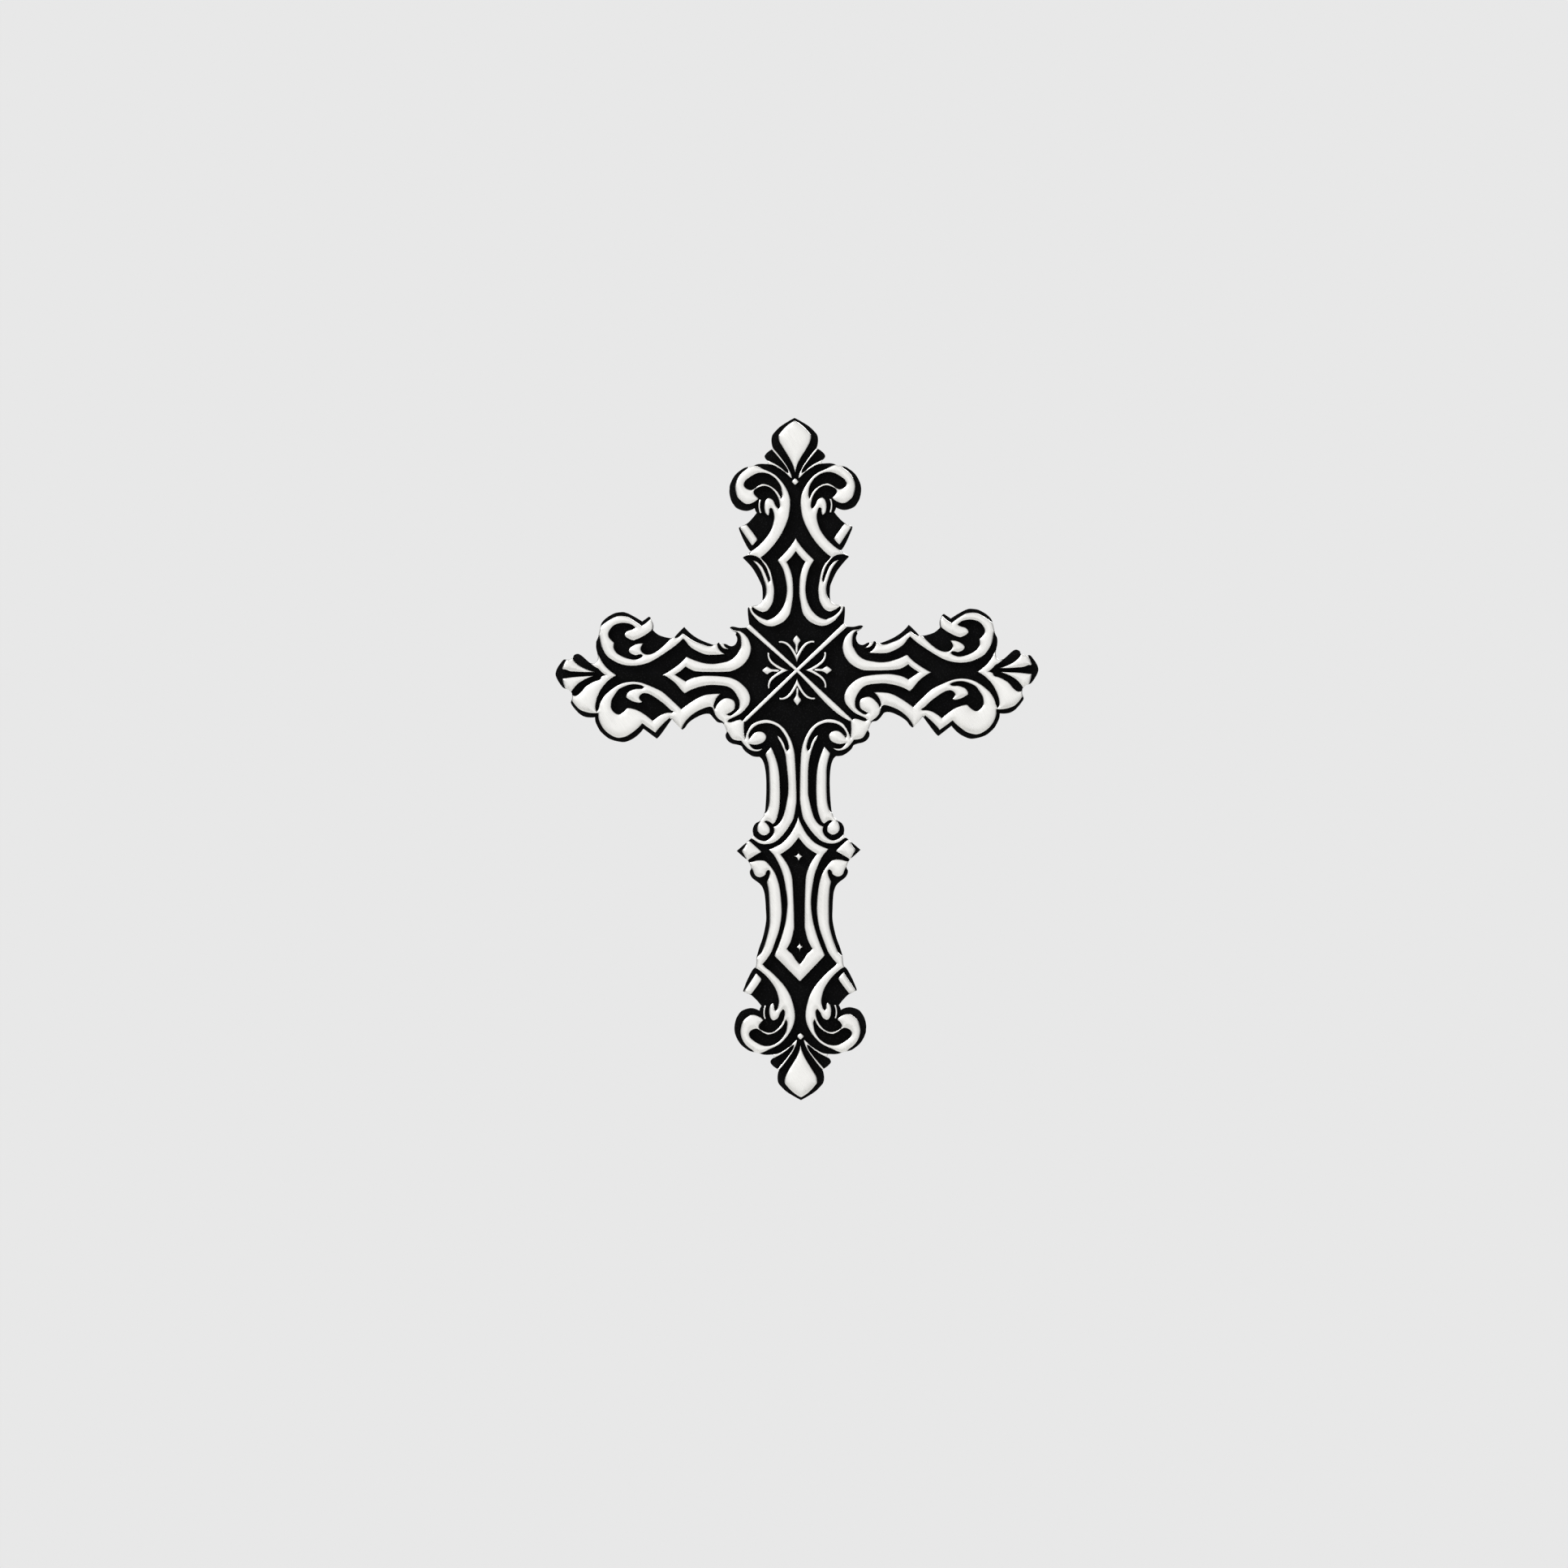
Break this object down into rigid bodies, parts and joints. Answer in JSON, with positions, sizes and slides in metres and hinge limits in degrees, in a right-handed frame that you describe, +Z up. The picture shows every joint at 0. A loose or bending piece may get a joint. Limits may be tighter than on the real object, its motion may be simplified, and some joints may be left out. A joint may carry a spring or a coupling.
{
  "type": "memorial cross",
  "caption": "Flat-backed cast Latin cross emblem with raised scrollwork, leaf finials and saltire ribs over a sunk ground, fixed by its back.",
  "frame": {"origin": "on the flat back face, at the crossing of the saltire ribs", "axes": "+Z up along the shaft, +Y out of the flat back, so the relief faces -Y, +X to the right seen from the front"},
  "size_m": [0.0636, 0.004, 0.09],
  "materials": {
    "cast_metal": "raised work satin polished, sunk ground painted black"
  },
  "bodies": {
    "root": {"cross": "cast_metal"}
  },
  "joints": []
}
